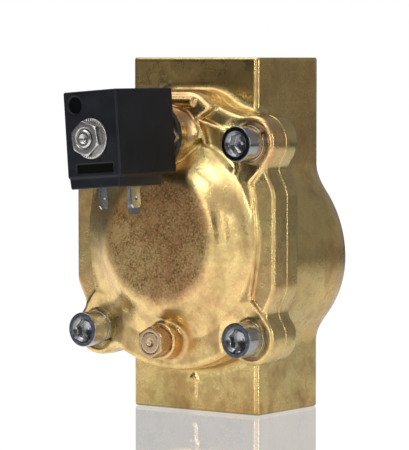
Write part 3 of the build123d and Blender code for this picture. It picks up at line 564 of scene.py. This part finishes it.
def cast_brass():
    """Forged brass: warm patches, brown tarnish in places, fine grain and soft waves; a coarse dome crown."""
    material, tree, shader = new_material("cast_brass")
    where = place(tree)
    patches = noise(tree, where, 24, 6, 0.62)
    olive = noise(tree, place(tree, (1, 1, 0.7), (0.3, 0.1, 0)), 30, 4, 0.6)
    stain = noise(tree, place(tree, (1, 1, 0.8), (0, 0.5, 0.2)), 95, 8, 0.72)
    specks = noise(tree, where, 620, 3, 0.6)
    grain = noise(tree, where, 1700, 3, 0.65)
    peel = noise(tree, where, 420, 4, 0.6)
    wave = noise(tree, where, 48, 2, 0.4)
    # The crown of the dome kept its rough skin
    split = tree.nodes.new("ShaderNodeSeparateXYZ")
    tree.links.new(where, split.inputs[0])
    flat = tree.nodes.new("ShaderNodeCombineXYZ")
    tree.links.new(split.outputs[0], flat.inputs[0])
    tree.links.new(split.outputs[2], flat.inputs[2])
    away = tree.nodes.new("ShaderNodeVectorMath")
    away.operation = "DISTANCE"
    away.inputs[1].default_value = (0, 0, FLANGE_Z * MM)
    tree.links.new(flat.outputs[0], away.inputs[0])
    near = remap(tree, away.outputs["Value"], 0.026, 0.032, 1.0, 0.0)
    high = remap(tree, split.outputs[1], -0.0628, -0.0640, 0.0, 1.0)
    crown = times(tree, near, high)
    low = remap(tree, split.outputs[1], -0.040, -0.050, 0.0, 1.0)
    colour = ramp(tree, patches, [(0.3, (0.46, 0.29, 0.11)), (0.5, (0.65, 0.45, 0.175)), (0.7, (0.76, 0.56, 0.25))])
    colour = mix(tree, times(tree, remap(tree, patches, 0.25, 0.6, 0.35, 0.8), low), colour, (0.81, 0.59, 0.26))
    colour = mix(tree, remap(tree, olive, 0.40, 0.62, 0.0, 0.6), colour, (0.53, 0.46, 0.19))
    blush = noise(tree, place(tree, (1, 1, 1), (0.4, 0.2, 0)), 30, 5, 0.6)
    colour = mix(tree, times(tree, remap(tree, blush, 0.46, 0.62, 0.0, 0.65), low), colour, (0.66, 0.38, 0.18))
    colour = mix(tree, remap(tree, stain, 0.47, 0.68, 0.0, 0.75), colour, (0.36, 0.20, 0.08))
    colour = mix(tree, remap(tree, specks, 0.64, 0.74, 0.0, 0.5), colour, (0.16, 0.10, 0.045))
    rust = remap(tree, noise(tree, where, 42, 5, 0.65), 0.46, 0.62, 0.15, 0.8)
    colour = mix(tree, times(tree, crown, rust), colour, (0.40, 0.19, 0.07))
    colour = mix(tree, remap(tree, crown, 0.0, 1.0, 0.0, 0.5), colour, (0.31, 0.185, 0.08))
    coarse = noise(tree, where, 1050, 6, 0.85)
    clusters = noise(tree, where, 160, 4, 0.7)
    sandy = times(tree, remap(tree, coarse, 0.44, 0.58, 0.0, 1.0), remap(tree, clusters, 0.36, 0.58, 0.35, 1.0))
    colour = mix(tree, times(tree, sandy, crown), colour, (0.10, 0.055, 0.02))
    bright = remap(tree, coarse, 0.44, 0.34, 0.0, 0.5)
    colour = mix(tree, times(tree, bright, crown), colour, (0.66, 0.48, 0.29))
    # Worn edges shine, hollows stay dirty
    geometry = tree.nodes.new("ShaderNodeNewGeometry")
    worn = remap(tree, geometry.outputs["Pointiness"], 0.53, 0.60, 0.0, 0.6)
    colour = mix(tree, worn, colour, (0.86, 0.68, 0.34))
    hollow = remap(tree, geometry.outputs["Pointiness"], 0.48, 0.41, 0.0, 0.7)
    colour = mix(tree, hollow, colour, (0.30, 0.18, 0.07))
    tree.links.new(colour, shader.inputs["Base Color"])
    shader.inputs["Metallic"].default_value = 1.0
    shader.inputs["Coat Weight"].default_value = 0.12
    shader.inputs["Coat Roughness"].default_value = 0.16
    rough = tree.nodes.new("ShaderNodeMath")
    rough.operation = "MULTIPLY_ADD"
    tree.links.new(crown, rough.inputs[0])
    rough.inputs[1].default_value = 0.20
    tree.links.new(remap(tree, stain, 0.35, 0.65, 0.20, 0.37), rough.inputs[2])
    tree.links.new(rough.outputs[0], shader.inputs["Roughness"])
    normal = bump(tree, wave, 0.35, 0.0010)
    normal = bump(tree, noise(tree, where, 150, 3, 0.5), 0.16, 0.00030, normal)
    normal = bump(tree, peel, 0.28, 0.00025, normal)
    normal = bump(tree, grain, 0.30, 0.00012, normal)
    normal = bump(tree, times(tree, coarse, crown), 0.6, 0.00022, normal)
    tree.links.new(normal, shader.inputs["Normal"])
    return material


def machined_brass():
    material, tree, shader = new_material("machined_brass")
    where = place(tree)
    fine = noise(tree, place(tree, (1, 8, 1)), 900, 3)
    patches = noise(tree, where, 160, 4)
    colour = ramp(tree, patches, [(0.3, (0.42, 0.29, 0.17)), (0.7, (0.60, 0.44, 0.28))])
    tree.links.new(colour, shader.inputs["Base Color"])
    shader.inputs["Metallic"].default_value = 1.0
    tree.links.new(remap(tree, fine, 0.3, 0.7, 0.18, 0.34), shader.inputs["Roughness"])
    tree.links.new(bump(tree, fine, 0.08, 0.00004), shader.inputs["Normal"])
    return material


def steel(name, light=0.62, rough=(0.16, 0.32), tint=(1.0, 0.98, 0.96), stretch=(1, 6, 1)):
    """Turned stainless steel with fine tool lines and a few handling marks."""
    material, tree, shader = new_material(name)
    fine = noise(tree, place(tree, stretch), 2600, 2)
    marks = noise(tree, place(tree), 260, 5, 0.7)
    base = tuple(light * t for t in tint)
    darker = tuple(0.8 * b for b in base)
    colour = ramp(tree, marks, [(0.32, darker), (0.6, base)])
    tree.links.new(colour, shader.inputs["Base Color"])
    shader.inputs["Metallic"].default_value = 1.0
    tree.links.new(remap(tree, fine, 0.3, 0.7, *rough), shader.inputs["Roughness"])
    tree.links.new(bump(tree, fine, 0.08, 0.00003), shader.inputs["Normal"])
    return material


def moulded(name, dark, light, rough=(0.38, 0.55), grain=900):
    """Moulded plastic or rubber: fine texture, faint mottling, roughness variation."""
    material, tree, shader = new_material(name)
    where = place(tree)
    texture = noise(tree, where, grain, 3)
    mottle = noise(tree, where, 120, 4)
    colour = ramp(tree, mottle, [(0.3, dark), (0.7, light)])
    tree.links.new(colour, shader.inputs["Base Color"])
    tree.links.new(remap(tree, mottle, 0.3, 0.7, *rough), shader.inputs["Roughness"])
    tree.links.new(bump(tree, texture, 0.25, 0.0001), shader.inputs["Normal"])
    return material


def coil_plastic():
    """Smooth black moulding; the floors of its front recesses are darker and dull."""
    material, tree, shader = new_material("coil_plastic")
    where = place(tree)
    texture = noise(tree, where, 1400, 3)
    mottle = noise(tree, where, 120, 4)
    split = tree.nodes.new("ShaderNodeSeparateXYZ")
    tree.links.new(where, split.inputs[0])
    geometry = tree.nodes.new("ShaderNodeNewGeometry")
    facing_side = tree.nodes.new("ShaderNodeSeparateXYZ")
    tree.links.new(geometry.outputs["Normal"], facing_side.inputs[0])
    forward = remap(tree, facing_side.outputs[1], -0.6, -0.95, 0.0, 1.0)
    front = COIL_LOW[1] * MM
    deep = times(tree, forward, remap(tree, split.outputs[1], front + 0.0003, front + 0.0004, 0.0, 1.0))
    deep = times(tree, deep, remap(tree, split.outputs[2], PILOT_Z * MM - 0.0170, PILOT_Z * MM - 0.0165, 0.0, 1.0))
    colour = ramp(tree, mottle, [(0.3, (0.004, 0.0045, 0.0075)), (0.7, (0.008, 0.009, 0.014))])
    colour = mix(tree, deep, colour, (0.0015, 0.0015, 0.002))
    tree.links.new(colour, shader.inputs["Base Color"])
    tree.links.new(remap(tree, deep, 0.0, 1.0, 0.28, 0.08), shader.inputs["Specular IOR Level"])
    tree.links.new(remap(tree, mottle, 0.3, 0.7, 0.34, 0.44), shader.inputs["Roughness"])
    tree.links.new(bump(tree, texture, 0.1, 0.0001), shader.inputs["Normal"])
    return material


def heads_with_painted_reflection():
    """Screw steel, worn and marked; the heads' outward faces carry a painted dark reflection."""
    material, tree, shader = new_material("screw_head_steel")
    where = place(tree)
    fine = noise(tree, place(tree, (1, 6, 1)), 2600, 2)
    marks = noise(tree, where, 900, 5, 0.75)
    split = tree.nodes.new("ShaderNodeSeparateXYZ")
    tree.links.new(where, split.inputs[0])
    geometry = tree.nodes.new("ShaderNodeNewGeometry")
    side = tree.nodes.new("ShaderNodeSeparateXYZ")
    tree.links.new(geometry.outputs["Normal"], side.inputs[0])
    # Painted reflection: the forward-facing front faces of the heads are painted nearly black for the dim studio they
    # would reflect
    outward = remap(tree, side.outputs[1], -0.5, -0.9, 0.0, 1.0)
    top = SCREWS_LOW[1] * MM
    painted_reflection_mask = times(tree, outward, remap(tree, split.outputs[1], top + 1.2 * MM, top + 0.9 * MM, 0, 1))
    colour = ramp(tree, marks, [(0.32, (0.33, 0.335, 0.345)), (0.6, (0.42, 0.42, 0.43))])
    dark = ramp(tree, marks, [(0.42, (0.05, 0.055, 0.07)), (0.66, (0.16, 0.165, 0.18))])
    tree.links.new(mix(tree, painted_reflection_mask, colour, dark), shader.inputs["Base Color"])
    shader.inputs["Metallic"].default_value = 1.0
    tree.links.new(remap(tree, fine, 0.3, 0.7, 0.12, 0.22), shader.inputs["Roughness"])
    tree.links.new(bump(tree, marks, 0.12, 0.00005), shader.inputs["Normal"])
    return material


BRASS = cast_brass()
TURNED_BRASS = machined_brass()
SCREW_STEEL = steel("screw_steel", 0.42, (0.13, 0.22), (0.97, 0.98, 1.0))
NUT_STEEL = steel("nut_steel", 0.5, (0.24, 0.36))
CORE_STEEL = steel("core_steel", 0.55)
YOKE_STEEL = steel("yoke_steel", 0.35, (0.35, 0.5))
BLADE_METAL = steel("blade_metal", 0.5, (0.12, 0.2), (0.96, 0.98, 1.0), (6, 6, 1))
COPPER = steel("winding_copper", 0.75, (0.25, 0.4), (1.0, 0.5, 0.28), (1, 14, 1))
RUBBER = moulded("seal_rubber", (0.012, 0.012, 0.012), (0.03, 0.03, 0.03), (0.45, 0.65))
SHEET_RUBBER = moulded("diaphragm_rubber", (0.015, 0.015, 0.015), (0.03, 0.03, 0.028), (0.6, 0.8), 1600)
COIL_PLASTIC = coil_plastic()
BOBBIN_PLASTIC = moulded("bobbin_plastic", (0.55, 0.54, 0.5), (0.7, 0.69, 0.65))
FIBRE = moulded("gasket_fibre", (0.25, 0.07, 0.04), (0.45, 0.16, 0.1), (0.7, 0.9))

SLOT_MATERIAL = {
    "cast_brass": BRASS,
    "machined_brass": TURNED_BRASS,
    "screw_steel": SCREW_STEEL,
    "core_steel": CORE_STEEL,
    "spring_steel": CORE_STEEL,
    "diaphragm_rubber": SHEET_RUBBER,
    "seal_rubber": RUBBER,
    "gasket_fibre": FIBRE,
    "coil_plastic": COIL_PLASTIC,
    "bobbin_plastic": BOBBIN_PLASTIC,
    "winding_copper": COPPER,
    "yoke_steel": YOKE_STEEL,
    "blade_metal": BLADE_METAL,
}
for entry in frame["record"]["subparts"]:
    mesh = frame["nodes"][entry["node"]].data
    mesh.materials.clear()
    mesh.materials.append(SLOT_MATERIAL[entry["material_slot"]])


def dress(piece, material, body, node):
    """Gives a piece its material and its body, and hides the CAD node that it stands for."""
    piece.data.materials.clear()
    piece.data.materials.append(material)
    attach(piece, body)
    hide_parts(node)


# ------------------------------------------------------------------ body and cover castings
STEP = 0.8
body = net_mesh("body_casting", body_field, (-58, -44, 0), (58, 36, LENGTH), STEP)
dress(body, BRASS, "valve", "valve_body")
cover = net_mesh("cover_casting", cover_field, (-58, -67, FLANGE_Z - 63), (58, -JOINT + 1, FLANGE_Z + 69), STEP * 0.9)
dress(cover, BRASS, "valve", "cover")


# ------------------------------------------------------------------ fasteners, plug, coil
def copies(source, name, spots):
    """One object holding a copy of a small mesh at each (x, y, z, turn about Y in degrees)."""
    joined = bmesh.new()
    for x, y, z, turn in spots:
        part = source.data.copy()
        matrix = Matrix.Translation(Vector((x, y, z)) * MM) @ Matrix.Rotation(math.radians(turn), 4, "Y")
        part.transform(matrix)
        joined.from_mesh(part)
        bpy.data.meshes.remove(part)
    mesh = bpy.data.meshes.new(name)
    joined.to_mesh(mesh)
    joined.free()
    mesh.shade_smooth()
    made = bpy.data.objects.new(name, mesh)
    bpy.context.scene.collection.objects.link(made)
    bpy.data.objects.remove(source)
    return made


SMALL = 0.22
WASHER_TOP = -(SCREWS_LOW[1] + HEAD_HEIGHT)
BOLTS = [(sx * BOLT, FLANGE_Z + sz * BOLT) for sx in (-1, 1) for sz in (-1, 1)]

one = net_mesh("one_screw", screw_field, (-8, -10, -8), (8, 20, 8), SMALL)
screws = copies(one, "socket_screws", [(x, -WASHER_TOP, z, 31 * i) for i, (x, z) in enumerate(BOLTS)])
dress(screws, heads_with_painted_reflection(), "valve", "cover_screws")

one = net_mesh("one_washer", lock_washer_field, (-8.2, -2.2, -8.2), (8.2, 0, 8.2), SMALL)
washers = copies(one, "spring_washers", [(x, -FACE, z, 40 + 95 * i) for i, (x, z) in enumerate(BOLTS)])
dress(washers, SCREW_STEEL, "valve", "cover_lock_washers")

one = net_mesh("one_plug", plug_field, (-7.6, -6.4, -7.6), (7.6, 12, 7.6), SMALL)
plug = copies(one, "hex_bleed_plug", [(0, GASKET_LOW[1], PLUG_Z, 0)])
dress(plug, TURNED_BRASS, "valve", "bleed_plug")

one = net_mesh("one_nut", nut_field, (-8.2, -4.3, -8.2), (8.2, 0, 8.2), SMALL)
nut = copies(one, "hex_coil_nut", [(0, NUT_HIGH[1], PILOT_Z, 0)])
dress(nut, NUT_STEEL, "valve", "coil_nut")

one = net_mesh("one_coil_washer", washer_field, (-9.1, -1.4, -9.1), (9.1, 0, 9.1), SMALL)
coil_washer = copies(one, "serrated_washer", [(0, COIL_LOW[1], PILOT_Z, 0)])
dress(coil_washer, NUT_STEEL, "valve", "coil_washer")

one = net_mesh("one_coil", coil_field, (-15, COIL_LOW[1], -22.2), (15, COIL_HIGH[1], 21.3), 0.34)
coil = copies(one, "coil_moulding", [(0, 0, PILOT_Z, -COIL_TURN)])
dress(coil, COIL_PLASTIC, "coil", "coil_housing")

# ------------------------------------------------------------------ floor, light, camera

def plane_object(name, size, spot):
    mesh = bpy.data.meshes.new(name)
    half = size / 2
    mesh.from_pydata([(-half, -half, 0), (half, -half, 0), (half, half, 0), (-half, half, 0)], [], [(0, 1, 2, 3)])
    made = bpy.data.objects.new(name, mesh)
    made.location = spot
    bpy.context.scene.collection.objects.link(made)
    return made


floor = plane_object("floor", 12, (0, 0, -0.0002))
material, tree, shader = new_material("floor")
shader.inputs["Base Color"].default_value = (0.9, 0.9, 0.9, 1)
shader.inputs["Roughness"].default_value = 0.08
shader.inputs["IOR"].default_value = 1.25
shader.inputs["Emission Color"].default_value = (1, 1, 0.98, 1)
# White table: beyond its edge the studio is dark to reflections and plain white to the camera
where = place(tree)
reach = tree.nodes.new("ShaderNodeVectorMath")
reach.operation = "DISTANCE"
reach.inputs[1].default_value = (-0.06, -0.08, 0)
tree.links.new(where, reach.inputs[0])
light_path = tree.nodes.new("ShaderNodeLightPath")
# It is lit more strongly in front of the object than behind it
rearward = tree.nodes.new("ShaderNodeVectorMath")
rearward.operation = "DOT_PRODUCT"
rearward.inputs[1].default_value = (0.59, 0.80, 0)
tree.links.new(where, rearward.inputs[0])
tree.links.new(remap(tree, rearward.outputs["Value"], -0.1, 0.1, 0.58, 0.16), shader.inputs["Emission Strength"])
far = remap(tree, reach.outputs["Value"], 0.6, 0.95, 0.0, 1.0)
beyond = tree.nodes.new("ShaderNodeEmission")
beyond.inputs["Color"].default_value = (0.13, 0.13, 0.13, 1)
table = mix_shader(tree, far, shader.outputs[0], beyond.outputs[0])
# Seen directly it is a lit white gloss sheet
lit = tree.nodes.new("ShaderNodeEmission")
lit.inputs["Color"].default_value = (1, 1, 1, 1)
gloss = tree.nodes.new("ShaderNodeBsdfGlossy")
gloss.inputs["Roughness"].default_value = 0.0
gloss.inputs["Color"].default_value = (0.97, 0.96, 1.0, 1)
weight = tree.nodes.new("ShaderNodeLayerWeight")
weight.inputs["Blend"].default_value = 0.5
share = remap(tree, weight.outputs["Facing"], 0.1, 0.86, 0.06, 0.52)
sheet = mix_shader(tree, share, lit.outputs[0], gloss.outputs[0])
# From below it is clear, and so it is to rays that leave the object's own foot
clear = tree.nodes.new("ShaderNodeBsdfTransparent")
near_foot = remap(tree, light_path.outputs["Ray Length"], 0.003, 0.0031, 1.0, 0.0)
touching = mix_shader(tree, near_foot, table, clear.outputs[0])
side = tree.nodes.new("ShaderNodeNewGeometry")
upper = mix_shader(tree, side.outputs["Backfacing"], sheet, clear.outputs[0])
blend = mix_shader(tree, light_path.outputs["Is Camera Ray"], touching, upper)
tree.links.new(blend, tree.nodes["Material Output"].inputs["Surface"])
floor.data.materials.append(material)

AZIMUTH = math.radians(36.37)
RIGHT = Vector((math.cos(AZIMUTH), math.sin(AZIMUTH), 0))
AHEAD = Vector((-math.sin(AZIMUTH), math.cos(AZIMUTH), 0))
camera_data = bpy.data.cameras.new("camera")
camera_data.lens = 228
camera_data.sensor_width = 36
camera_data.sensor_fit = "AUTO"
camera_data.clip_end = 50
camera = bpy.data.objects.new("camera", camera_data)
camera.location = RIGHT * -0.01677 - AHEAD * 1.348 + Vector((0, 0, LENGTH * MM))
camera.rotation_euler = (math.pi / 2 - math.radians(3.363), 0, AZIMUTH)
bpy.context.scene.collection.objects.link(camera)
bpy.context.scene.camera = camera


def softbox(name, spot, aim, width, height, power, colour=(1, 1, 1)):
    light = bpy.data.lights.new(name, "AREA")
    light.shape = "RECTANGLE"
    light.size = width
    light.size_y = height
    light.energy = power
    light.color = colour
    made = bpy.data.objects.new(name, light)
    made.location = spot
    made.rotation_euler = (Vector(aim) - Vector(spot)).to_track_quat("-Z", "Y").to_euler()
    bpy.context.scene.collection.objects.link(made)
    return made


softbox("key_high", (0.05, -1.06, 1.0), (0, 0, 0.08), 0.2, 0.3, 1.9)
softbox("strip_edge", (0.68, -1.22, 0.3), (0, 0, 0.08), 0.2, 0.9, 1.6)
softbox("strip_left", (-0.13, -1.4, 0.45), (0, 0, 0.08), 0.16, 1.0, 3.4)
softbox("front_top", (0.5, -0.9, 1.6), (0, 0, 0.08), 0.8, 0.8, 1.5)
softbox("strip_right", (1.2, -0.3, 0.35), (0, 0, 0.08), 0.14, 0.9, 4)
softbox("top", (-0.4, -0.05, 1.4), (-0.1, -0.1, 0.0), 1.5, 1.1, 10)

world = bpy.data.worlds.new("studio")
bpy.context.scene.world = world
world.use_nodes = True
wtree = world.node_tree
background = wtree.nodes["Background"]
path = wtree.nodes.new("ShaderNodeLightPath")
coordinates = wtree.nodes.new("ShaderNodeTexCoord")


def facing(direction, a, b, low, high):
    """A value that rises from low to high as a ray turns towards a direction."""
    dot = wtree.nodes.new("ShaderNodeVectorMath")
    dot.operation = "DOT_PRODUCT"
    dot.inputs[1].default_value = direction
    wtree.links.new(coordinates.outputs["Generated"], dot.inputs[0])
    return remap(wtree, dot.outputs["Value"], a, b, low, high)


# Dim studio, a grey wall on the right behind; the floor's own mirror image sees a white sweep all round
right_rear = facing((0.37, 0.93, 0), 0.45, 0.98, 0.0, 1.0)
shade = mix(wtree, right_rear, (0.10, 0.10, 0.105), (0.34, 0.33, 0.32))
shade = mix(wtree, facing((-0.59, -0.80, 0), 0.75, 0.97, 0.0, 1.0), shade, (0.02, 0.02, 0.022))
shade = mix(wtree, facing((0, 0, 1), 0.2, 0.6, 0.0, 1.0), shade, (0.28, 0.28, 0.28))
shade = mix(wtree, facing((0, 0, -1), 0.05, 0.1, 0.0, 1.0), shade, (0.5, 0.5, 0.5))
shade = mix(wtree, path.outputs["Is Singular Ray"], shade, (1.15, 1.15, 1.15))
shade = mix(wtree, path.outputs["Is Camera Ray"], shade, (1.0, 1.0, 1.0))
wtree.links.new(shade, background.inputs["Color"])
background.inputs["Strength"].default_value = 1.0
bpy.context.scene.view_settings.view_transform = "Standard"
